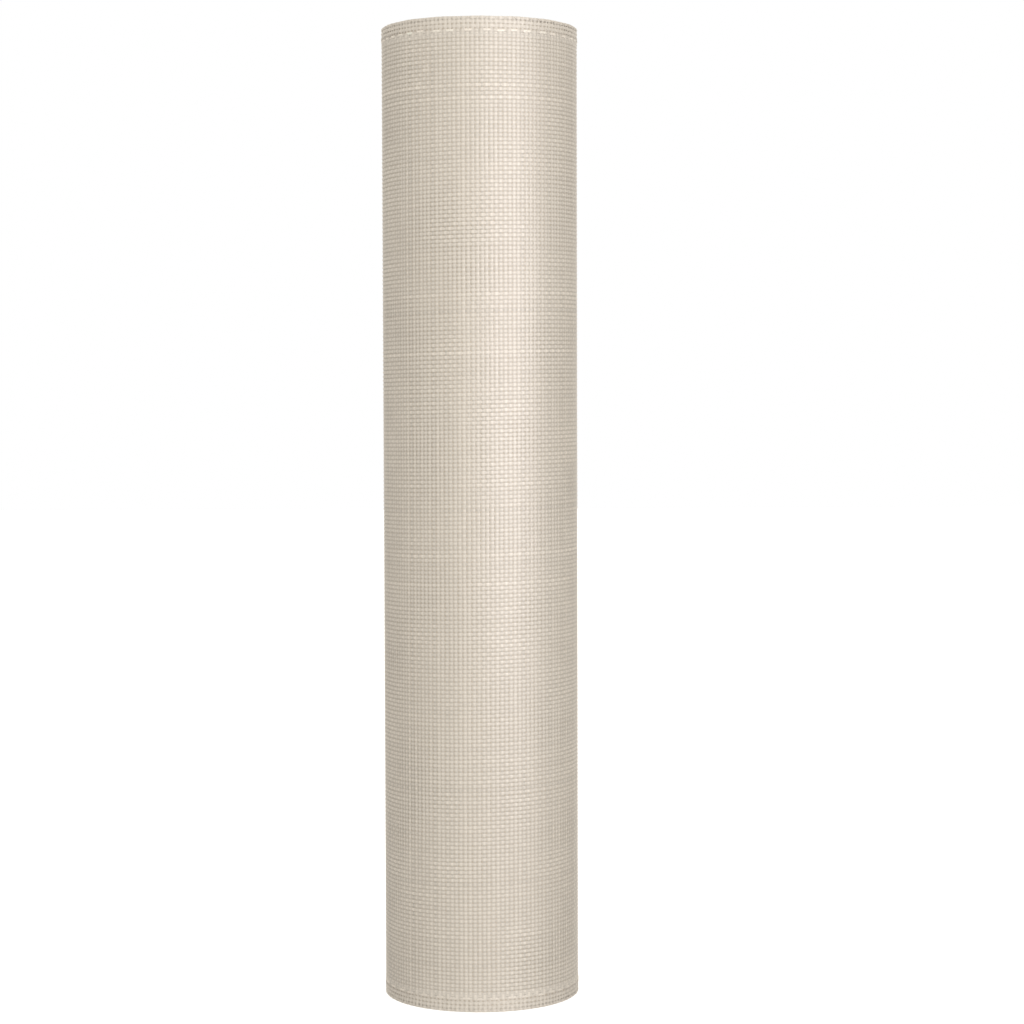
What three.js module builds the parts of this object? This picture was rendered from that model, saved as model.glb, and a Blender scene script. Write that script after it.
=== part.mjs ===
// A roll of woven aluminium wire mesh, standing on its end.
// Millimetres, +Z up. The origin is the centre of the bottom end, on the roll's axis.
// One sheet is wound on itself with no core, so the roll is one turned solid with a bore down its middle.
// Its outside and its bore step by one turn where the sheet's two ends lie, as on a real coil.

import * as THREE from "three";
import { mergeVertices } from "three/addons/utils/BufferGeometryUtils.js";

// The sheet: a plain weave of round wire with a folded edge on both sides
const SHEET_WIDTH = 610; // the sheet's width is the roll's length
const WIRE_DIAMETER = 0.8;
const WIRE_SPACING = 2.54; // centre to centre, across the sheet's width
const HEM_SPACINGS = 3; // the folded edge covers this many wire spacings
const HEM_HEIGHT = 0.5; // how far the folded edge stands out from the mesh
const NESTING = 0.2; // how far each turn's wires settle between those of the turn below

// The winding: counter-clockwise seen from above, on the way out
const BORE_DIAMETER = 41; // at the sheet's inner end
const TURNS = 30;
const FREE_END_ANGLE = 120; // degrees from +X to the sheet's ends, on the back of the roll
const CUT_END_ANGLE = 0.75; // degrees that the cut end of the sheet takes up

// The turns as they show on both ends of the roll
const TURNS_PER_GROOVE = 3;
const GROOVE_WIDTH = 0.9;
const GROOVE_DEPTH = 1.2;

// How finely round shapes are divided
const SIDES = 60;
const FOLD_STEPS = 2;

const turnPitch = 2 * WIRE_DIAMETER - NESTING;
const boreRadius = BORE_DIAMETER / 2;
const meshRadius = boreRadius + (TURNS - 1) * turnPitch;
const hemRadius = meshRadius + HEM_HEIGHT;
const hemWidth = HEM_SPACINGS * WIRE_SPACING;

// A point of one end's outline: its radius, its depth in from the end,
// and whether it belongs to the outermost or innermost turn, which follows the spiral of the sheet.
function outlinePoint(radius, depth, onOuterOrInnerTurn) {
  return { radius, depth, onOuterOrInnerTurn };
}

// The V-shaped valley between two turns
function grooveOutline(turn) {
  const radius = boreRadius + turn * turnPitch;
  return [
    outlinePoint(radius - GROOVE_WIDTH / 2, 0, false),
    outlinePoint(radius, GROOVE_DEPTH, false),
    outlinePoint(radius + GROOVE_WIDTH / 2, 0, false),
  ];
}

// The folded edge: a round corner, the flat of the hem, and the step down to the mesh
function hemOutline() {
  const points = [];
  for (let step = 0; step <= FOLD_STEPS; step += 1) {
    const angle = (step / FOLD_STEPS) * (Math.PI / 2);
    const radius = hemRadius - WIRE_DIAMETER * (1 - Math.sin(angle));
    const depth = WIRE_DIAMETER * (1 - Math.cos(angle));
    points.push(outlinePoint(radius, depth, true));
  }
  points.push(outlinePoint(hemRadius, hemWidth, true));
  points.push(outlinePoint(meshRadius, hemWidth + HEM_HEIGHT, true));
  return points;
}

// One end of the roll, from the bore out over the rim
function endOutline() {
  const points = [outlinePoint(boreRadius, 0, true)];
  for (let turn = TURNS_PER_GROOVE; turn < TURNS - 1; turn += TURNS_PER_GROOVE) {
    points.push(...grooveOutline(turn));
  }
  points.push(...hemOutline());
  return points;
}

// The whole closed outline: out along the bottom, up the outside, in along the top and down the bore
function rollOutline() {
  const bottom = endOutline().map((point) => ({ ...point, height: point.depth }));
  const top = endOutline().map((point) => ({ ...point, height: SHEET_WIDTH - point.depth }));
  const points = [...bottom, ...top.reverse()];
  points.push(points[0]);
  return points;
}

// Each side of the turned solid has its angle past the cut end, and its lift: how far the spiral has grown there
function sheetSides() {
  const cutAngle = THREE.MathUtils.degToRad(CUT_END_ANGLE);
  const sides = [{ angle: 0, lift: turnPitch }];
  for (let side = 1; side < SIDES; side += 1) {
    const share = (side - 1) / (SIDES - 1);
    sides.push({ angle: cutAngle + share * (2 * Math.PI - cutAngle), lift: share * turnPitch });
  }
  sides.push(sides[0]);
  return sides;
}

// The turned solid, with its sides set along the spiral of the sheet
function woundRoll() {
  const outline = rollOutline();
  const turned = new THREE.LatheGeometry(
    outline.map((point) => new THREE.Vector2(point.radius, point.height)),
    SIDES,
  );
  const position = turned.getAttribute("position");
  const startAngle = THREE.MathUtils.degToRad(FREE_END_ANGLE);
  sheetSides().forEach((side, sideNumber) => {
    outline.forEach((point, pointNumber) => {
      const radius = point.radius + (point.onOuterOrInnerTurn ? side.lift : 0);
      const angle = startAngle + side.angle;
      const vertex = sideNumber * outline.length + pointNumber;
      position.setXYZ(vertex, radius * Math.cos(angle), radius * Math.sin(angle), point.height);
    });
  });
  turned.deleteAttribute("normal");
  turned.deleteAttribute("uv");
  const solid = mergeVertices(turned);
  solid.computeVertexNormals();
  return solid;
}

function aluminiumWireMesh() {
  return new THREE.MeshStandardMaterial({ color: 0xd6ccbe, roughness: 0.5, metalness: 0.8, flatShading: true });
}

const meshRoll = new THREE.Mesh(woundRoll(), aluminiumWireMesh());
meshRoll.name = "mesh_roll";

const roll = new THREE.Group();
roll.add(meshRoll);

export default roll;
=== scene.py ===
from dataclasses import dataclass
import math

import bpy
import numpy as np
from mathutils import Matrix, Vector


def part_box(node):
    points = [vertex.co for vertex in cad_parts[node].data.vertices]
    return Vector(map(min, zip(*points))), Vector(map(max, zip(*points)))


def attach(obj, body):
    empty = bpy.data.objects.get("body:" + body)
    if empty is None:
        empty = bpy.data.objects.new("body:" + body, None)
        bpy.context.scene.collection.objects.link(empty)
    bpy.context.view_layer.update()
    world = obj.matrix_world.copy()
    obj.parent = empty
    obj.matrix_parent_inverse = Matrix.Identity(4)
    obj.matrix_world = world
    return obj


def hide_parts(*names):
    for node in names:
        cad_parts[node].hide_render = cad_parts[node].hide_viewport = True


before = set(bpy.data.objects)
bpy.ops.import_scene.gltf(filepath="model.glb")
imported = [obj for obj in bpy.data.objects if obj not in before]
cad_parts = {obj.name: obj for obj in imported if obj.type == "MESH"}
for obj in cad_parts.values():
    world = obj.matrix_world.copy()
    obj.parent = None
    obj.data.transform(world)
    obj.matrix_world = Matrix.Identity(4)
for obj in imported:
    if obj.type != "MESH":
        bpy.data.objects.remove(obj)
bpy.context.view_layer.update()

# A roll of woven aluminium wire mesh, standing on its end. Metres, +Z up, the front towards -Y.
# The outermost turn is woven from separate crimped wires, with its folded edges and their raw loops.
# The turns under it are one wound body whose weave is in its material, with painted shade.
# Both ends of the roll show the folds of every turn.

# The sheet and its winding, as the imported solid has them
ROLL_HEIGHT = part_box("mesh_roll")[1][2]
TURN_PITCH = 0.0014
TURNS = 30
BORE_RADIUS = 0.0205
FREE_END = math.radians(120)  # the sheet's cut ends, from +X, on the back of the roll

# The weave
HOOP_SPACES = 240  # spaces between hoop wires, along the roll
CROSS_WIRES = 134  # wires along the roll, in one turn
TUCKED_WIRES = 3  # more of them, hidden under the free end
RIM_DEPTH = 0.0009  # from the rim to the first hoop wire
EDGE_ROW_DEPTHS = (  # the hoop wires near each rim lie close past the folded edge, two of them as a pair
    RIM_DEPTH, 0.0029, 0.0054, 0.0085, 0.0101, 0.0116, 0.0140, 0.0163, 0.0188,
)
EDGE_SPACES = 8  # the even spaces that they take up
PAIRED_ROW = 3  # the first wire of the pair
WIRE_WIDTH = 0.00172  # round wire, pressed flat when the cloth was rolled after weaving
WIRE_CREST = 0.00030  # where a wire isn't woven: from its middle line out to its crest
WIRE_BACK = 0.00024  # and in to its back
# The same distances where a wire passes over another one, between two, and under one
HOOP_CRESTS = (0.00060, 0.00028, -0.00014)
HOOP_BACKS = (-0.00010, 0.00024, 0.00042)
CROSS_CRESTS = (0.00022, 0.00018, 0.00010)  # the cross wires lie nearly straight
CROSS_BACKS = (0.00010, 0.00022, 0.00026)
HOOP_SHOULDER = math.radians(5)  # how far the surface turns away from the crest at the wire's edges
CROSS_SHOULDER = math.radians(14)
HOOP_BEND = 0.45  # how much of the hoop wires' own slopes shows in their shading
TIP_SPACES = (0.3, 0.5)  # how far the hoop wires' cut tips stick out, in spaces between cross wires
HEM_ROW_DEPTHS = (0.0008, 0.0032, 0.0058)  # the hoop wires of the folded strip
HEM_ROWS = len(HEM_ROW_DEPTHS)
HEM_PRESS = 0.00024  # how far the layer under the folded edge is pushed in

# How uneven the weave is
SEED = 18
WAVE_STRETCH = (0.8, 1.25)  # how much the wavelengths differ from wire to wire
HOOP_SHIFT = 0.00005
CROSS_SHIFT = 0.00008
HOOP_WAVE = 0.00007
HOOP_WAVE_LENGTHS = (0.021, 0.047, 0.11)
CROSS_WAVE = 0.00010
CROSS_WAVE_LENGTHS = (0.033, 0.074, 0.19)
TILT = 0.0016  # how far the hoop wires rise at the right and sink at the left, away from the hems
TILT_FADE = 0.08
HOOP_SPREAD = 0.012  # how much the wires differ in brightness
CROSS_SPREAD = 0.026
TINT_TAILS = 3  # degrees of freedom of their spread: few wires stand out, but some do
TINT_LIMIT = 0.075  # and none by more than this
TINT_WAVE = 0.02  # how much a wire's brightness drifts along it
HOOP_TINT_LENGTHS = (0.016, 0.05)
CROSS_TINT_LENGTHS = (0.022, 0.07)
SNAG_TINT = 0.08  # a wire that was snagged, a short way under the top edge at the left of the front
SNAG_START = math.radians(72)  # past the free end
SNAG_END = math.radians(113)
SNAG_DEPTHS = (0.0412, 0.0405)
SNAG_WIDTH = 0.0013
KNOTS = ((math.radians(113), 0.0405), (math.radians(118.5), 0.030))  # and where it caught
KNOT_WIDTH = 0.0016
KNOT_TINT = 0.22
BLOCK = 9  # crossings in a block where one set of wires stands a little prouder than the other
BLOCK_RISE = 0.00006
# painted highlight on the prouder set of wires in each block, and painted shade on the other
BLOCK_PAINTED_LIGHT = 0.05
HOOP_CROWN_HIGHLIGHT = 0.11  # painted highlight on the pressed crowns at the crossings
CROSS_CROWN_HIGHLIGHT = 0.09
HOOP_SPAN_SHADE = -0.14  # and painted shade on the wires between them, where they lie in the weave's shade
CROSS_SPAN_SHADE = -0.19
HEM_SPAN_SHADE = -0.07

# The woven wires are made in several pieces, from the bottom up and from the free end round
HOOP_PIECES = ("hoop_wires_lower", "hoop_wires_middle", "hoop_wires_upper")
CROSS_PIECES = ("cross_wires_left", "cross_wires_front", "cross_wires_right")

# The camera, fitted to the roll's outline in the photograph
LENS = 89.2
CAMERA_PLACE = Vector((0.00035, -1.6104, 0.3786))
CAMERA_PITCH = math.radians(2.577)
CAMERA_YAW = math.radians(0.708)
CAMERA_ROLL = math.radians(-0.154)

cell_angle = 2 * math.pi / CROSS_WIRES
random = np.random.default_rng(SEED)


def middle_radius(past_end):
    """The radius of the outermost turn's middle surface, at an angle past the free end."""
    skin = BORE_RADIUS + TURN_PITCH * (TURNS - 1 + past_end / (2 * math.pi))
    return skin - HOOP_CRESTS[0]


def place(past_end, height, offset):
    """Points on the outermost turn, moved out from its middle surface by offset."""
    angle = FREE_END + past_end
    radius = middle_radius(past_end) + offset
    return np.stack([radius * np.cos(angle), radius * np.sin(angle), height + 0 * radius], axis=-1)


def outward(past_end):
    """The direction straight out from the roll's axis."""
    angle = FREE_END + past_end
    return np.stack([np.cos(angle), np.sin(angle), 0 * angle], axis=-1)


def with_middles(values):
    """Values at the crossings along each wire, with their means put between them."""
    wires, points = values.shape
    filled = np.empty((wires, 2 * points - 1))
    filled[:, 0::2] = values
    filled[:, 1::2] = (values[:, 1:] + values[:, :-1]) / 2
    return filled


def smooth_waves(wires, along, lengths, height):
    """Smooth random waves for each wire, from a few sines of the given wavelengths."""
    total = np.zeros((wires, len(along)))
    for length in lengths:
        stretch = length * random.uniform(*WAVE_STRETCH, (wires, 1))
        phase = random.uniform(0, 2 * math.pi, (wires, 1))
        total += np.sin(2 * math.pi * along[None, :] / stretch + phase)
    return height * total / math.sqrt(len(lengths))


@dataclass
class Faces:
    """Points with their tints, and quads and triangles with a normal at each of their corners."""

    points: np.ndarray
    quads: np.ndarray
    triangles: np.ndarray
    tint: np.ndarray
    quad_normals: np.ndarray
    triangle_normals: np.ndarray


def new_mesh_object(name, faces):
    """An object from arrays of points and faces."""
    mesh = bpy.data.meshes.new(name)
    mesh.vertices.add(len(faces.points))
    mesh.vertices.foreach_set("co", faces.points.astype(np.float32).ravel())
    corners = np.concatenate([faces.quads.ravel(), faces.triangles.ravel()]).astype(np.int32)
    mesh.loops.add(len(corners))
    mesh.loops.foreach_set("vertex_index", corners)
    starts = np.concatenate([
        np.arange(len(faces.quads)) * 4,
        len(faces.quads) * 4 + np.arange(len(faces.triangles)) * 3,
    ]).astype(np.int32)
    mesh.polygons.add(len(starts))
    mesh.polygons.foreach_set("loop_start", starts)
    mesh.polygons.foreach_set("use_smooth", np.ones(len(starts), dtype=bool))
    layer = mesh.attributes.new("tint", "FLOAT", "POINT")
    layer.data.foreach_set("value", faces.tint.astype(np.float32))
    mesh.update(calc_edges=True)
    mesh.normals_split_custom_set(np.concatenate([faces.quad_normals, faces.triangle_normals]))
    piece = bpy.data.objects.new(name, mesh)
    bpy.context.collection.objects.link(piece)
    return piece


def tubes(centres, crest, shape, tint, bend=0.0, shoulder=CROSS_SHOULDER):
    """Flattened wires along rows of points: three corners at each point, shaded with rounded shoulders.

    The crest is the direction that the wire's crown faces. The shape is how far the crest stands out from
    the point, how far the back lies in from it, and the width. The bend is how much of the crest line's own
    slopes shows in the shading, and the shoulder is how far the surface turns away at the wire's edges.
    """
    sides = 3
    wires, points, _ = centres.shape
    rise, fall, width = [np.broadcast_to(size, (wires, points))[:, :, None] for size in shape]
    ahead = np.gradient(centres, axis=1)
    ahead /= np.linalg.norm(ahead, axis=2, keepdims=True)
    crest = crest - (crest * ahead).sum(axis=2, keepdims=True) * ahead
    crest /= np.linalg.norm(crest, axis=2, keepdims=True)
    across = np.cross(ahead, crest)
    rings = np.stack([
        centres + rise * crest,
        centres - fall * crest + width / 2 * across,
        centres - fall * crest - width / 2 * across,
    ], axis=2)
    number = np.arange(wires * points * sides).reshape(wires, points, sides)
    near, far = number[:, :-1, :], number[:, 1:, :]
    quads = np.stack([near, np.roll(near, -1, 2), np.roll(far, -1, 2), far], axis=-1).reshape(-1, 4)
    step = np.linalg.norm(np.gradient(centres, axis=1), axis=2, keepdims=True)
    slope = bend * np.gradient(rise, axis=1) / step
    crown = (crest - slope * ahead) / np.sqrt(1 + slope ** 2)
    left = math.cos(shoulder) * crown + math.sin(shoulder) * across
    right = math.cos(shoulder) * crown - math.sin(shoulder) * across
    starts = np.stack([crown, -crest, right], axis=2)
    ends = np.stack([left, -crest, crown], axis=2)
    quad_normals = np.stack([
        starts[:, :-1],
        ends[:, :-1],
        ends[:, 1:],
        starts[:, 1:],
    ], axis=3).reshape(-1, 3)
    first, last = number[:, 0], number[:, -1]
    triangles = np.concatenate([first[:, [0, 2, 1]], last])
    triangle_normals = np.repeat(np.concatenate([-ahead[:, 0], ahead[:, -1]]), 3, axis=0)
    spread = np.repeat(np.broadcast_to(tint, (wires, points)).reshape(-1), sides)
    return Faces(rings.reshape(-1, 3), quads, triangles, spread, quad_normals, triangle_normals)


def joined(parts):
    """Several sets of points and faces as one."""
    counts = np.cumsum([0] + [len(part.points) for part in parts])
    return Faces(
        np.concatenate([part.points for part in parts]),
        np.concatenate([part.quads + count for part, count in zip(parts, counts)]),
        np.concatenate([part.triangles + count for part, count in zip(parts, counts)]),
        np.concatenate([part.tint for part in parts]),
        np.concatenate([part.quad_normals for part in parts]),
        np.concatenate([part.triangle_normals for part in parts]),
    )


def block_field(rows, columns):
    """A random value from -1 to 1 at each crossing, that changes softly from block to block."""
    coarse = random.uniform(-1, 1, (rows // BLOCK + 2, columns // BLOCK + 2))
    # The steps stop just short of the last coarse value, so that each of them has one after it
    down = np.linspace(0, coarse.shape[0] - 1.001, rows)
    across = np.linspace(0, coarse.shape[1] - 1.001, columns)
    row, column = down.astype(int), across.astype(int)
    lower = (down - row)[:, None]
    later = (across - column)[None, :]
    lower, later = lower ** 2 * (3 - 2 * lower), later ** 2 * (3 - 2 * later)
    first = coarse[row][:, column] * (1 - later) + coarse[row][:, column + 1] * later
    second = coarse[row + 1][:, column] * (1 - later) + coarse[row + 1][:, column + 1] * later
    return first * (1 - lower) + second * lower


def hoop_rows():
    """Each hoop wire's height, and the number of its shed: the pair near each rim lies in one shed."""
    edge = np.array(EDGE_ROW_DEPTHS)
    plain = np.linspace(RIM_DEPTH, ROLL_HEIGHT - RIM_DEPTH, HOOP_SPACES + 1)[EDGE_SPACES:-EDGE_SPACES]
    level = np.concatenate([edge, plain, ROLL_HEIGHT - edge[::-1]])
    shed = np.arange(len(level))
    shed[PAIRED_ROW + 1:] -= 1
    shed[-PAIRED_ROW - 1:] -= 1
    return level, shed


def crossing_grid():
    """Where every hoop wire meets every cross wire: the angle past the free end, and the height."""
    level, _ = hoop_rows()
    rows = len(level)
    columns = CROSS_WIRES + TUCKED_WIRES
    bearing = (np.arange(columns) - TUCKED_WIRES + 0.5) * cell_angle
    mean_radius = middle_radius(math.pi)
    from_front = FREE_END + bearing + math.pi / 2
    fade = np.clip(np.minimum(level, ROLL_HEIGHT - level) / TILT_FADE, 0, 1)
    row_shift = random.normal(0, HOOP_SHIFT, (rows, 1))
    row_wave = smooth_waves(rows, bearing * mean_radius, HOOP_WAVE_LENGTHS, HOOP_WAVE)
    tilt = TILT * np.sin(from_front)[None, :]
    height = level[:, None] + fade[:, None] * (row_shift + row_wave + tilt)
    column_shift = random.normal(0, CROSS_SHIFT, (columns, 1))
    column_wave = smooth_waves(columns, level, CROSS_WAVE_LENGTHS, CROSS_WAVE)
    past_end = bearing[None, :] + (column_shift + column_wave).T / mean_radius
    return past_end, height


def crossing_sign():
    """+1 where the hoop wire lies over the cross wire, and -1 where it lies under."""
    columns = np.arange(CROSS_WIRES + TUCKED_WIRES)
    return 1.0 - 2.0 * ((hoop_rows()[1][:, None] + columns[None, :]) % 2)


def woven_shape(sign, lift, crests, backs):
    """The rise, fall and width along wires that pass over and under: 1 in sign is over, and -1 is under."""
    rise = np.full((sign.shape[0], 2 * sign.shape[1] - 1), crests[1])
    fall = np.full(rise.shape, backs[1])
    rise[:, 0::2] = np.where(sign > 0, crests[0], crests[2])
    fall[:, 0::2] = np.where(sign > 0, backs[0], backs[2])
    return rise + with_middles(lift), fall - with_middles(lift), WIRE_WIDTH


def hem_press(rows, columns):
    """How far each crossing is pushed in under the folded edges."""
    row = np.arange(rows)[:, None] + np.zeros((1, columns))
    return np.where((row < HEM_ROWS) | (row >= rows - HEM_ROWS), HEM_PRESS, 0.0)


def painted_crown_light(wires, crossings, crown, span):
    """Painted highlight on wires at their crossings, and painted shade between them."""
    tints = np.full((wires, 2 * crossings - 1), span)
    tints[:, 0::2] = crown
    return tints


def snag_tints(past_end, height):
    """How much brighter the wires are along the snag and at its knots."""
    depth = ROLL_HEIGHT - height
    line = np.interp(past_end, (SNAG_START, SNAG_END), SNAG_DEPTHS)
    along = (past_end > SNAG_START) & (past_end < SNAG_END)
    tints = SNAG_TINT * along * np.exp(-((depth - line) / SNAG_WIDTH) ** 2)
    for knot_angle, knot_depth in KNOTS:
        aside = (past_end - knot_angle) * middle_radius(math.pi)
        tints += KNOT_TINT * np.exp(-(aside ** 2 + (depth - knot_depth) ** 2) / KNOT_WIDTH ** 2)
    return tints


def wire_tints(wires, along, lengths, spread):
    """Each wire's own brightness, which also drifts along it."""
    own = np.clip(spread * random.standard_t(TINT_TAILS, (wires, 1)), -TINT_LIMIT, TINT_LIMIT)
    return 1 + own + smooth_waves(wires, along, lengths, TINT_WAVE)


def hoop_wires(past_end, height, blocks):
    """The wires that run round the roll, with their cut tips at the free end."""
    angle_path = with_middles(past_end)
    height_path = with_middles(height)
    inward_path = with_middles(hem_press(*height.shape))
    tip = random.uniform(*TIP_SPACES, (len(angle_path), 1)) * cell_angle
    angle_path = np.hstack([angle_path, angle_path[:, -1:] + tip])
    height_path = np.hstack([height_path, height_path[:, -1:]])
    inward_path = np.hstack([inward_path, inward_path[:, -1:]])
    rise, fall, width = woven_shape(crossing_sign(), BLOCK_RISE * blocks, HOOP_CRESTS, HOOP_BACKS)
    rise = np.hstack([rise, rise[:, -2:-1]])
    fall = np.hstack([fall, fall[:, -2:-1]])
    along = angle_path.mean(axis=0) * middle_radius(math.pi)
    tint = wire_tints(len(angle_path), along, HOOP_TINT_LENGTHS, HOOP_SPREAD)
    tint += snag_tints(angle_path, height_path)
    # Painted highlight where the hoop wires' block stands prouder, and painted shade where it lies lower
    tint[:, :-1] += with_middles(BLOCK_PAINTED_LIGHT * blocks)
    # Painted highlight at the crossings, and painted shade on the spans between them
    tint[:, :-1] += painted_crown_light(*blocks.shape, HOOP_CROWN_HIGHLIGHT, HOOP_SPAN_SHADE)
    centres = place(angle_path, height_path, -inward_path)
    crest = outward(angle_path)
    groups = np.array_split(np.arange(len(angle_path)), len(HOOP_PIECES))
    for name, rows in zip(HOOP_PIECES, groups):
        shape = (rise[rows], fall[rows], width)
        faces = tubes(centres[rows], crest[rows], shape, tint[rows], HOOP_BEND, HOOP_SHOULDER)
        yield new_mesh_object(name, faces)


def cross_wires(past_end, height, blocks):
    """The wires that run along the roll."""
    angle_path = with_middles(past_end.T)
    height_path = with_middles(height.T)
    inward_path = with_middles(hem_press(*height.shape).T)
    rise, fall, width = woven_shape(-crossing_sign().T, -BLOCK_RISE * blocks.T, CROSS_CRESTS, CROSS_BACKS)
    along = height_path.mean(axis=0)
    tint = wire_tints(len(angle_path), along, CROSS_TINT_LENGTHS, CROSS_SPREAD)
    tint += snag_tints(angle_path, height_path)
    # Painted shade where the cross wires' block lies lower, and painted highlight where it stands prouder
    tint -= with_middles(BLOCK_PAINTED_LIGHT * blocks.T)
    # Painted highlight at the crossings, and painted shade on the spans between them
    tint += painted_crown_light(*blocks.T.shape, CROSS_CROWN_HIGHLIGHT, CROSS_SPAN_SHADE)
    centres = place(angle_path, height_path, -inward_path)
    crest = outward(angle_path)
    groups = np.array_split(np.arange(len(angle_path)), len(CROSS_PIECES))
    for name, columns in zip(CROSS_PIECES, groups):
        shape = (rise[columns], fall[columns], width)
        yield new_mesh_object(name, tubes(centres[columns], crest[columns], shape, tint[columns]))


# The folded edge, measured from the rim inwards
HEM_HEIGHT = 0.00012  # how far it stands out: the roll's outline shows no step at the hem
FOLD_SLIP = 0.12  # the folded strip's wires lie this share of a space beside the ones under them
FOLD_BENDS = (  # depth, share of the slip, how far out, and which way the crest leans: -1 in, 0 up, 1 out
    (0.0032, 0.0, -HEM_PRESS, -1.0),
    (0.0010, 0.1, -HEM_PRESS, -0.6),
    (0.00036, 0.5, 0.0001, 0.0),
)
HEM_END = 0.0078
HEM_NEXT_ROW = 0.0082  # where the folded strip's next hoop wire would have been
HEM_WIRE_WIDTH = 0.00155
HEM_WAVE = 0.00012
HEM_WAVE_LENGTHS = (0.02, 0.06)
LOOP_DEPTH = 0.0083
LOOP_UNEVEN = 0.00015
LOOP_WIDTH = 0.0014
LOOP_CREST = 0.0005
BEND_WIDTH = 0.00085  # a wire's width where it bends over the rim
LOOP_SPACES = (3, 3, 4)  # cross wires from one loop to the next, in any order
LOOP_SPAN = 2
# Painted highlight on the loops' level runs, brighter along the top edge than the bottom, and a little on
# their bends
LOOP_HIGHLIGHT_TOP = 1.25
LOOP_HIGHLIGHT_BOTTOM = 1.12
LOOP_BEND_HIGHLIGHT = 1.05


def from_rim(depth, top):
    """The height at a depth in from the top or the bottom rim."""
    return ROLL_HEIGHT - depth if top else depth


def folded_wires(bearing, top):
    """The cross wires where they bend over the rim and run back down outside."""
    columns = len(bearing)
    bends = [*FOLD_BENDS]
    for depth, following in zip(HEM_ROW_DEPTHS, [*HEM_ROW_DEPTHS[1:], HEM_NEXT_ROW]):
        bends.append((depth, 1.0, HEM_HEIGHT, 1.0))
        bends.append(((depth + following) / 2, 1.0, HEM_HEIGHT, 1.0))
    bends.append((HEM_END, 1.0, HEM_HEIGHT, 1.0))
    depth, slip, offset, lean = [np.array(values)[None, :] for values in zip(*bends)]
    rows = np.arange(HEM_ROWS)[None, :]
    sign = 1.0 - 2.0 * ((np.arange(columns)[:, None] + rows) % 2)
    rise, fall, _ = woven_shape(sign, 0 * sign, CROSS_CRESTS, CROSS_BACKS)
    before = np.full((columns, len(FOLD_BENDS)), WIRE_CREST)
    after = np.full((columns, 2), WIRE_CREST)
    rise = np.hstack([before, rise, after])
    fall = np.hstack([before, fall, after])
    width = np.full(rise.shape, HEM_WIRE_WIDTH)
    width[:, 1:len(FOLD_BENDS)] = BEND_WIDTH
    angle_path = bearing[:, None] + FOLD_SLIP * cell_angle * slip
    upward = np.array([0.0, 0.0, 1.0 if top else -1.0])
    crest = lean[:, :, None] * outward(angle_path) + (1 - np.abs(lean))[:, :, None] * upward
    centres = place(angle_path, from_rim(depth + 0 * angle_path, top), offset)
    # Painted highlight at the folded strip's crossings, and painted shade between them and past its last row
    shade = painted_crown_light(columns, HEM_ROWS, CROSS_CROWN_HIGHLIGHT, HEM_SPAN_SHADE)
    shade = np.hstack([np.zeros(before.shape), shade, np.full(after.shape, HEM_SPAN_SHADE)])
    tint = 1 + shade + random.normal(0, CROSS_SPREAD, (columns, 1))
    return tubes(centres, crest, (rise, fall, width), tint)


def folded_hoops(bearing, top):
    """The hoop wires of the folded strip."""
    rows = HEM_ROWS
    sign = 1.0 - 2.0 * ((np.arange(rows)[:, None] + np.arange(len(bearing))[None, :]) % 2)
    angle_path = with_middles(np.repeat(bearing[None, :], rows, axis=0)) + FOLD_SLIP * cell_angle
    along = angle_path[0] * middle_radius(math.pi)
    depth = np.array(HEM_ROW_DEPTHS)[:, None] + smooth_waves(rows, along, HEM_WAVE_LENGTHS, HEM_WAVE)
    centres = place(angle_path, from_rim(depth, top), HEM_HEIGHT)
    tint = wire_tints(rows, along, HOOP_TINT_LENGTHS, HOOP_SPREAD)
    # Painted highlight at the crossings, and painted shade between them
    tint += painted_crown_light(rows, len(bearing), HOOP_CROWN_HIGHLIGHT, HEM_SPAN_SHADE)
    shape = woven_shape(-sign, 0 * sign, HOOP_CRESTS, HOOP_BACKS)
    return tubes(centres, outward(angle_path), shape, tint, HOOP_BEND, HOOP_SHOULDER)


def raw_loops(bearing, top):
    """The loops along the raw edge of the folded strip, each from one cross wire to the next but one."""
    # Nine points along a loop: it comes down out of the weave, runs level, and goes back up
    shares = np.array([0.0, 0.01, 0.05, 0.15, 0.5, 0.85, 0.95, 0.99, 1.0])
    depths = LOOP_DEPTH - np.array([0.0024, 0.0011, 0.0004, 0.0, 0.0, 0.0, 0.0004, 0.0011, 0.0024])
    proud = np.array([-0.0001, 0.0, 0.0, 0.0001, 0.0001, 0.0001, 0.0, 0.0, -0.0001])
    # Painted highlight along each loop's level run and its bends, brighter at the top edge
    crown = LOOP_HIGHLIGHT_TOP if top else LOOP_HIGHLIGHT_BOTTOM
    bend = LOOP_BEND_HIGHLIGHT
    bright = np.array([1.0, 1.0, bend, crown, crown, crown, bend, 1.0, 1.0])
    paths, heights = [], []
    column = int(random.integers(0, min(LOOP_SPACES)))
    while column + LOOP_SPAN < len(bearing):
        start, finish = bearing[column], bearing[column + LOOP_SPAN]
        paths.append(start + shares * (finish - start) + FOLD_SLIP * cell_angle)
        heights.append(from_rim(depths + random.normal(0, LOOP_UNEVEN), top))
        column += int(random.choice(LOOP_SPACES))
    angle_path = np.array(paths)
    centres = place(angle_path, np.array(heights), HEM_HEIGHT + proud)
    tint = bright * (1 + random.normal(0, CROSS_SPREAD, (len(paths), 1)))
    return tubes(centres, outward(angle_path), (LOOP_CREST, WIRE_BACK, LOOP_WIDTH), tint)


def hem(past_end, top):
    """One folded edge of the outermost turn: its bent wires, its hoops and its raw loops."""
    bearing = past_end[-1 if top else 0]
    parts = [folded_wires(bearing, top), folded_hoops(bearing, top), raw_loops(bearing, top)]
    return new_mesh_object("folded_edge_top" if top else "folded_edge_bottom", joined(parts))


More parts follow.
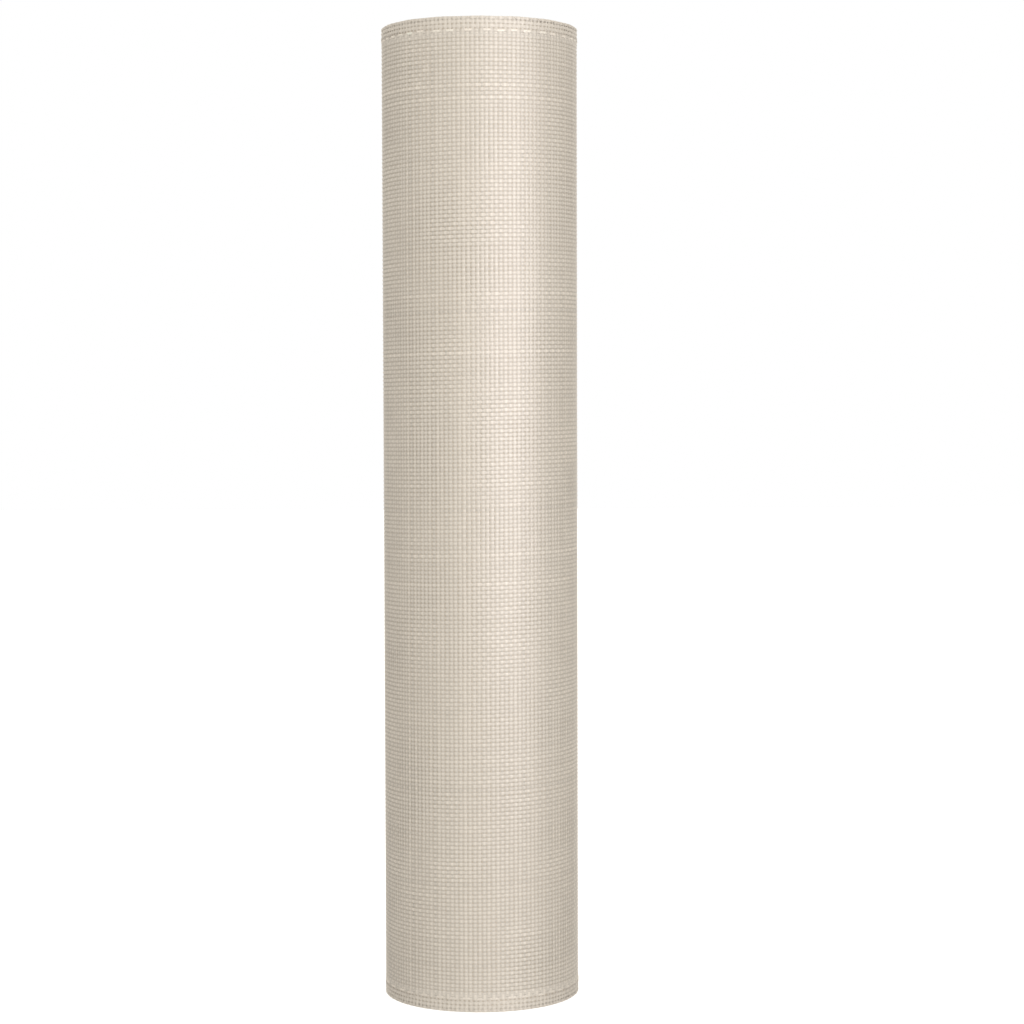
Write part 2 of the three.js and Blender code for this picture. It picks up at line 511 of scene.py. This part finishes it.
# The folds of the turns under the outermost one, as both ends of the roll show them
END_FOLD_DEPTHS = (0.0026, 0.00085, 0.00085, 0.0026)  # a wire's way up to its bend, over it, and down again
END_FOLD_REACH = (-0.00018, -0.000135, 0.000135, 0.00018)
END_FOLD_LEAN = (-1.0, -0.7, 0.7, 1.0)  # which way the crest leans: -1 in, 0 up, 1 out
END_FOLD_SHIFT = 0.12  # how unevenly the folds are spaced, as a share of a space
END_FOLD_SINK = 0.00012
END_FOLD_TWIST = 0.01  # radians that a fold's inner and outer legs are turned apart
END_HOOP_DEPTH = 0.0010
END_HOOP_SIDES = 40  # in one turn
END_HOOP_WAVE = 0.0001
END_HOOP_WAVE_LENGTHS = (0.9, 2.3)  # radians wound
END_WIRE_WIDTH = 0.0008
END_WIRE_CREST = 0.00022
END_PAINTED_SHADE = 0.82  # painted shade: the ends are wound in on themselves, and lie in their own shade


def wound_radius(wound):
    """The radius of the sheet's middle at an angle wound from its inner end."""
    return BORE_RADIUS + TURN_PITCH / 2 + TURN_PITCH * wound / (2 * math.pi)


def end_fold_angles():
    """Where each cross wire of the inner turns bends over the rim, as an angle wound from the inner end."""
    spacing = cell_angle * middle_radius(math.pi)
    last = 2 * math.pi * (TURNS - 1)
    growth = TURN_PITCH / (4 * math.pi)
    start = BORE_RADIUS + TURN_PITCH / 2
    length = start * last + growth * last ** 2
    travelled = np.arange(0.5, length / spacing) * spacing
    travelled = travelled + random.normal(0, END_FOLD_SHIFT * spacing, len(travelled))
    return (-start + np.sqrt(start ** 2 + 4 * growth * np.clip(travelled, 0, length))) / (2 * growth)


def end_folds(top):
    """Small bends of wire over the rim, one for each cross wire of the inner turns."""
    wound = end_fold_angles()
    count = len(wound)
    sink = np.abs(random.normal(0, END_FOLD_SINK, (count, 1)))
    depth = np.array([END_FOLD_DEPTHS]) + sink
    twist = random.normal(0, END_FOLD_TWIST, (count, 1)) * np.array([[-1, -1, 1, 1]])
    angle = FREE_END + wound[:, None] + twist
    radius = wound_radius(wound)[:, None] + np.array([END_FOLD_REACH])
    height = from_rim(depth, top)
    centres = np.stack([radius * np.cos(angle), radius * np.sin(angle), height], axis=-1)
    lean = np.array(END_FOLD_LEAN)[None, :, None]
    flat = np.stack([np.cos(angle), np.sin(angle), 0 * angle], axis=-1)
    upward = np.array([0.0, 0.0, 1.0 if top else -1.0])
    crest = lean * flat + (1 - np.abs(lean)) * upward
    # Painted shade on the inner turns' folds
    tint = END_PAINTED_SHADE + random.normal(0, CROSS_SPREAD, (count, 1))
    return tubes(centres, crest, (END_WIRE_CREST, WIRE_BACK, END_WIRE_WIDTH), tint)


def end_hoop(top):
    """The last hoop wire of the sheet, wound through all the inner turns just under their folds."""
    wound = np.linspace(0, 2 * math.pi * (TURNS - 1), END_HOOP_SIDES * (TURNS - 1) + 1)[None, :]
    angle = FREE_END + wound
    radius = wound_radius(wound)
    wave = smooth_waves(1, wound[0], END_HOOP_WAVE_LENGTHS, END_HOOP_WAVE)
    height = from_rim(END_HOOP_DEPTH + wave, top)
    centres = np.stack([radius * np.cos(angle), radius * np.sin(angle), height], axis=-1)
    crest = np.zeros_like(centres) + np.array([0.0, 0.0, 1.0 if top else -1.0])
    # The last hoop wire in painted shade too
    return tubes(centres, crest, (END_WIRE_CREST, WIRE_BACK, END_WIRE_WIDTH), END_PAINTED_SHADE)


def wound_end(top):
    """One end of the inner turns."""
    return new_mesh_object("turns_top" if top else "turns_bottom", joined([end_folds(top), end_hoop(top)]))


# The wound body under the outermost turn
BODY_SIDES = 180
BODY_END_DEPTH = 0.0018
BODY_CLEARANCE = 0.00080  # from the crowns of the outermost turn to the ones below, which nest into its gaps
BODY_CUT_ANGLE = math.radians(0.75)  # what the cut end of the sheet takes up


def inner_turns():
    """The turns under the outermost one: a spiral body with a bore, stepped where the sheet's ends lie."""
    skin = BORE_RADIUS + TURN_PITCH * (TURNS - 1) - BODY_CLEARANCE
    low, high = BODY_END_DEPTH, ROLL_HEIGHT - BODY_END_DEPTH
    outline = [
        (BORE_RADIUS, low),
        (skin, low),
        (skin, high),
        (BORE_RADIUS, high),
    ]
    share = np.concatenate([[1.0], np.linspace(0, 1, BODY_SIDES - 1, endpoint=False)])
    angle = FREE_END + np.concatenate([[0.0], BODY_CUT_ANGLE + (2 * math.pi - BODY_CUT_ANGLE) * share[1:]])
    radius = np.array([point[0] for point in outline])[None, :] + TURN_PITCH * share[:, None]
    height = np.array([point[1] for point in outline])[None, :] + 0 * radius
    points = np.stack([
        radius * np.cos(angle)[:, None],
        radius * np.sin(angle)[:, None],
        height,
    ], axis=-1)
    number = np.arange(points.shape[0] * points.shape[1]).reshape(points.shape[:2])
    beside = np.roll(number, -1, axis=0)
    quads = np.stack([
        number,
        beside,
        np.roll(beside, -1, axis=1),
        np.roll(number, -1, axis=1),
    ], axis=-1).reshape(-1, 4)
    mesh = bpy.data.meshes.new("inner_turns")
    mesh.from_pydata(points.reshape(-1, 3).tolist(), [], quads.tolist())
    body = bpy.data.objects.new("inner_turns", mesh)
    bpy.context.collection.objects.link(body)
    return body


class Nodes:
    """A short way to add nodes to a node tree and link them."""

    def __init__(self, tree):
        self.tree = tree

    def put(self, socket, value):
        """Link the socket to another node's output, or set it to a plain value."""
        if isinstance(value, bpy.types.NodeSocket):
            self.tree.links.new(value, socket)
        else:
            socket.default_value = value

    def add(self, kind, **inputs):
        node = self.tree.nodes.new(kind)
        for name, value in inputs.items():
            self.put(node.inputs[name], value)
        return node

    def math(self, operation, first, second=0.0, third=0.0):
        node = self.tree.nodes.new("ShaderNodeMath")
        node.operation = operation
        for socket, value in zip(node.inputs, (first, second, third)):
            self.put(socket, value)
        return node.outputs[0]

    def noise(self, place_at, scale, detail):
        return self.add("ShaderNodeTexNoise", Vector=place_at, Scale=scale, Detail=detail).outputs["Fac"]

    def spread(self, value, range_in, range_out):
        """The value moved from one range to another."""
        node = self.tree.nodes.new("ShaderNodeMapRange")
        for socket, item in zip(node.inputs, (value, *range_in, *range_out)):
            self.put(socket, item)
        return node.outputs[0]

    def blend(self, share, first, second):
        """A colour between two others."""
        node = self.tree.nodes.new("ShaderNodeMix")
        node.data_type = "RGBA"
        self.put(node.inputs["Factor"], share)
        self.put(node.inputs[6], first)
        self.put(node.inputs[7], second)
        return node.outputs[2]

    def scaled(self, colour, factor):
        node = self.tree.nodes.new("ShaderNodeVectorMath")
        node.operation = "SCALE"
        self.put(node.inputs[0], colour)
        self.put(node.inputs["Scale"], factor)
        return node.outputs[0]

    def attribute(self, name):
        node = self.tree.nodes.new("ShaderNodeAttribute")
        node.attribute_name = name
        return node.outputs["Fac"]

    def bump(self, height, strength, distance):
        node = self.add("ShaderNodeBump", Strength=strength, Distance=distance, Height=height)
        return node.outputs["Normal"]


def new_material(name):
    """A material, its nodes and its shader."""
    material = bpy.data.materials.new(name)
    material.use_nodes = True
    nodes = Nodes(material.node_tree)
    return material, nodes, nodes.tree.nodes["Principled BSDF"]


# The ranges that most and nearly all of a noise's values lie in
MOST_NOISE = (0.35, 0.65)
NEARLY_ALL_NOISE = (0.3, 0.7)

# The wires
ALUMINIUM = (0.81, 0.750, 0.690, 1.0)
ALUMINIUM_SHADE = (0.795, 0.734, 0.674, 1.0)
WIRE_METALLIC = 0.9
WIRE_ROUGHNESS = (0.46, 0.56)
PATCH_SCALE = 60.0
PATCH_STRETCH = (1.0, 1.0, 0.12)
GRAIN_SCALE = 900.0
GRAIN_STRENGTH = 0.15
GRAIN_HEIGHT = 0.00005

# The turns below, between the wires of the outermost one: painted shade, darker than the wires, and darker
# still in the gaps
BELOW_PAINTED_SHADE = (0.63, 0.555, 0.475, 1.0)
GAP_PAINTED_SHADE = (0.58, 0.505, 0.425, 1.0)
BELOW_METALLIC = 0.8
BELOW_ROUGHNESS = (0.42, 0.52)
BELOW_CROSS_WIRES = CROSS_WIRES - 2  # its turn is shorter than the outermost one
BELOW_DRIFT_SCALE = 14.0
BELOW_SWAY = 0.09  # radians that its cross wires sway aside
BELOW_SAG = 0.006
BELOW_COVER = (-0.5, 0.6)  # from the middle of a gap to the top of a wire
BELOW_STRENGTH = 0.25
BELOW_HEIGHT = 0.0004


def aluminium_wire():
    """Drawn aluminium wire: warm and satin, uneven from wire to wire, with a fine drawn grain, and tinted
    with painted highlights and shade.
    """
    material, nodes, shader = new_material("aluminium_wire")
    position = nodes.add("ShaderNodeTexCoord").outputs["Object"]
    streaked = nodes.add("ShaderNodeMapping", Scale=PATCH_STRETCH, Vector=position).outputs["Vector"]
    patches = nodes.spread(nodes.noise(streaked, PATCH_SCALE, 3.0), MOST_NOISE, (0.0, 1.0))
    grain = nodes.noise(position, GRAIN_SCALE, 2.0)
    tone = nodes.blend(patches, ALUMINIUM, ALUMINIUM_SHADE)
    # The tint holds each wire's own tone, and also the painted highlights and shade at crowns, blocks, loops
    # and the roll's ends
    nodes.put(shader.inputs["Base Color"], nodes.scaled(tone, nodes.attribute("tint")))
    nodes.put(shader.inputs["Roughness"], nodes.spread(grain, NEARLY_ALL_NOISE, WIRE_ROUGHNESS))
    nodes.put(shader.inputs["Metallic"], WIRE_METALLIC)
    nodes.put(shader.inputs["Normal"], nodes.bump(grain, GRAIN_STRENGTH, GRAIN_HEIGHT))
    return material


def weave_below_painted_shade():
    """The weave of the next turn down, drawn as colour and bump on the wound body; its colours are painted
    shade.
    """
    material, nodes, shader = new_material("weave_below_painted_shade")
    position = nodes.add("ShaderNodeTexCoord").outputs["Object"]
    parts = nodes.add("ShaderNodeSeparateXYZ", Vector=position)
    drift = nodes.noise(position, BELOW_DRIFT_SCALE, 1.0)
    angle = nodes.math("ARCTAN2", parts.outputs["Y"], parts.outputs["X"])
    angle = nodes.math("MULTIPLY_ADD", drift, BELOW_SWAY, angle)
    column = nodes.math("COSINE", nodes.math("MULTIPLY", angle, BELOW_CROSS_WIRES))
    height = nodes.math("MULTIPLY_ADD", drift, BELOW_SAG, parts.outputs["Z"])
    row = nodes.math("COSINE", nodes.math("MULTIPLY", height, 2 * math.pi * HOOP_SPACES / ROLL_HEIGHT))
    wire = nodes.math("MAXIMUM", column, row)
    # Painted shade: the wires below darker than the outermost turn's, and the gaps between them darker still
    tone = nodes.blend(nodes.spread(wire, BELOW_COVER, (0.0, 1.0)), GAP_PAINTED_SHADE, BELOW_PAINTED_SHADE)
    nodes.put(shader.inputs["Base Color"], tone)
    nodes.put(shader.inputs["Roughness"], nodes.spread(drift, NEARLY_ALL_NOISE, BELOW_ROUGHNESS))
    nodes.put(shader.inputs["Metallic"], BELOW_METALLIC)
    nodes.put(shader.inputs["Normal"], nodes.bump(wire, BELOW_STRENGTH, BELOW_HEIGHT))
    return material


def build_roll():
    """All pieces of the roll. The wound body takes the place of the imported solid."""
    past_end, height = crossing_grid()
    blocks = block_field(*height.shape)
    wires = [
        *hoop_wires(past_end, height, blocks),
        *cross_wires(past_end, height, blocks),
        hem(past_end, False),
        hem(past_end, True),
        wound_end(False),
        wound_end(True),
    ]
    bright = aluminium_wire()
    for piece in wires:
        piece.data.materials.append(bright)
    body = inner_turns()
    body.data.materials.append(weave_below_painted_shade())
    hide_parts("mesh_roll")
    for piece in [body, *wires]:
        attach(piece, "root")


# The studio: a pale floor, a world graded in brightness all round, and one soft lamp at the front right
WHITE = (1.0, 1.0, 1.0, 1.0)
FLOOR_SIZE = 14.0
FLOOR_TONES = ((0.82, 0.82, 0.82, 1.0), (0.86, 0.86, 0.86, 1.0))
FLOOR_GRAIN_SCALE = 3.0
FLOOR_ROUGHNESS = 0.9
FLOOR_GLOW = 0.55
WORLD_COLOUR = (1.0, 0.98, 0.91, 1.0)
WORLD_SIDES = 0.725
WORLD_FRONT = 0.985
WORLD_BACK = 0.98
DARK_BEHIND = 0.35  # the darkest of the sides lies this far behind the roll, as a share of straight behind
WORLD_TOP = 0.93
WORLD_BELOW = 0.34
WORLD_LEAN = 0.04  # how much more light comes from the right than from straight ahead
LAMP_PLACE = Vector((0.72, -1.07, 0.44))
LAMP_AIM = Vector((0.0, 0.0, 0.355))
LAMP_WIDTH = 1.2
LAMP_HEIGHT = 0.27
LAMP_POWER = 1.95
LAMP_COLOUR = (1.0, 0.99, 1.10)


def pale_floor():
    """A plain near-white studio floor that glows a little."""
    material, nodes, shader = new_material("pale_floor")
    position = nodes.add("ShaderNodeTexCoord").outputs["Object"]
    grain = nodes.noise(position, FLOOR_GRAIN_SCALE, 2.0)
    nodes.put(shader.inputs["Base Color"], nodes.blend(grain, *FLOOR_TONES))
    nodes.put(shader.inputs["Roughness"], FLOOR_ROUGHNESS)
    nodes.put(shader.inputs["Emission Color"], WHITE)
    nodes.put(shader.inputs["Emission Strength"], FLOOR_GLOW)
    return material


def build_floor():
    """The floor, which the camera sees but the roll doesn't mirror."""
    bpy.ops.mesh.primitive_plane_add(size=FLOOR_SIZE, location=(0, 0, 0))
    floor = bpy.context.active_object
    floor.name = "studio_floor"
    floor.data.materials.append(pale_floor())
    floor.visible_glossy = False
    floor.visible_diffuse = False


def world_light(nodes):
    """The world's brightness in each direction."""
    direction = nodes.add("ShaderNodeTexCoord").outputs["Generated"]
    parts = nodes.add("ShaderNodeSeparateXYZ", Vector=direction)
    behind = nodes.math("SUBTRACT", parts.outputs["Y"], DARK_BEHIND)
    toward_back = nodes.math("MAXIMUM", behind, 0.0)
    toward_front = nodes.math("MINIMUM", behind, 0.0)
    back_gain = (WORLD_BACK - WORLD_SIDES) / (1 - DARK_BEHIND)
    front_gain = (WORLD_SIDES - WORLD_FRONT) / (1 + DARK_BEHIND)
    upward = nodes.math("MAXIMUM", parts.outputs["Z"], 0.0)
    downward = nodes.math("MINIMUM", parts.outputs["Z"], 0.0)
    level = nodes.math("MULTIPLY_ADD", toward_back, back_gain, WORLD_SIDES)
    level = nodes.math("MULTIPLY_ADD", toward_front, front_gain, level)
    level = nodes.math("MULTIPLY_ADD", parts.outputs["X"], WORLD_LEAN, level)
    level = nodes.math("MULTIPLY_ADD", downward, WORLD_SIDES - WORLD_BELOW, level)
    return nodes.math("MULTIPLY_ADD", upward, WORLD_TOP - WORLD_SIDES, level)


def build_world():
    """The graded studio light, with a plain white backdrop where the camera looks past the roll."""
    world = bpy.data.worlds.new("white_studio")
    bpy.context.scene.world = world
    world.use_nodes = True
    nodes = Nodes(world.node_tree)
    studio = nodes.tree.nodes["Background"]
    nodes.put(studio.inputs["Color"], WORLD_COLOUR)
    nodes.put(studio.inputs["Strength"], world_light(nodes))
    backdrop = nodes.add("ShaderNodeBackground", Color=WHITE)
    seen = nodes.add("ShaderNodeLightPath").outputs["Is Camera Ray"]
    choice = nodes.add("ShaderNodeMixShader")
    for socket, value in zip(choice.inputs, (seen, studio.outputs[0], backdrop.outputs[0])):
        nodes.put(socket, value)
    nodes.put(nodes.tree.nodes["World Output"].inputs["Surface"], choice.outputs[0])


def build_lamp():
    """One long soft lamp, for the bright band right of the middle."""
    light = bpy.data.lights.new("key_light", "AREA")
    light.shape = "RECTANGLE"
    light.size = LAMP_WIDTH
    light.size_y = LAMP_HEIGHT
    light.energy = LAMP_POWER
    light.color = LAMP_COLOUR
    lamp = bpy.data.objects.new("key_light", light)
    lamp.location = LAMP_PLACE
    lamp.rotation_euler = (LAMP_AIM - LAMP_PLACE).to_track_quat("-Z", "Y").to_euler()
    bpy.context.collection.objects.link(lamp)


def build_camera():
    """The camera, turned to its yaw and pitch and then rolled about its own line of sight."""
    ahead = Vector((
        math.sin(CAMERA_YAW) * math.cos(CAMERA_PITCH),
        math.cos(CAMERA_YAW) * math.cos(CAMERA_PITCH),
        -math.sin(CAMERA_PITCH),
    ))
    level = Vector((math.cos(CAMERA_YAW), -math.sin(CAMERA_YAW), 0.0))
    upright = level.cross(ahead)
    right = math.cos(CAMERA_ROLL) * level + math.sin(CAMERA_ROLL) * upright
    up = -math.sin(CAMERA_ROLL) * level + math.cos(CAMERA_ROLL) * upright
    facing = Matrix((right, up, -ahead)).transposed()
    camera = bpy.data.objects.new("camera", bpy.data.cameras.new("camera"))
    camera.data.lens = LENS
    camera.matrix_world = Matrix.Translation(CAMERA_PLACE) @ facing.to_4x4()
    bpy.context.collection.objects.link(camera)
    bpy.context.scene.camera = camera


build_camera()
build_roll()
build_floor()
build_world()
build_lamp()
bpy.context.scene.view_settings.view_transform = "Standard"
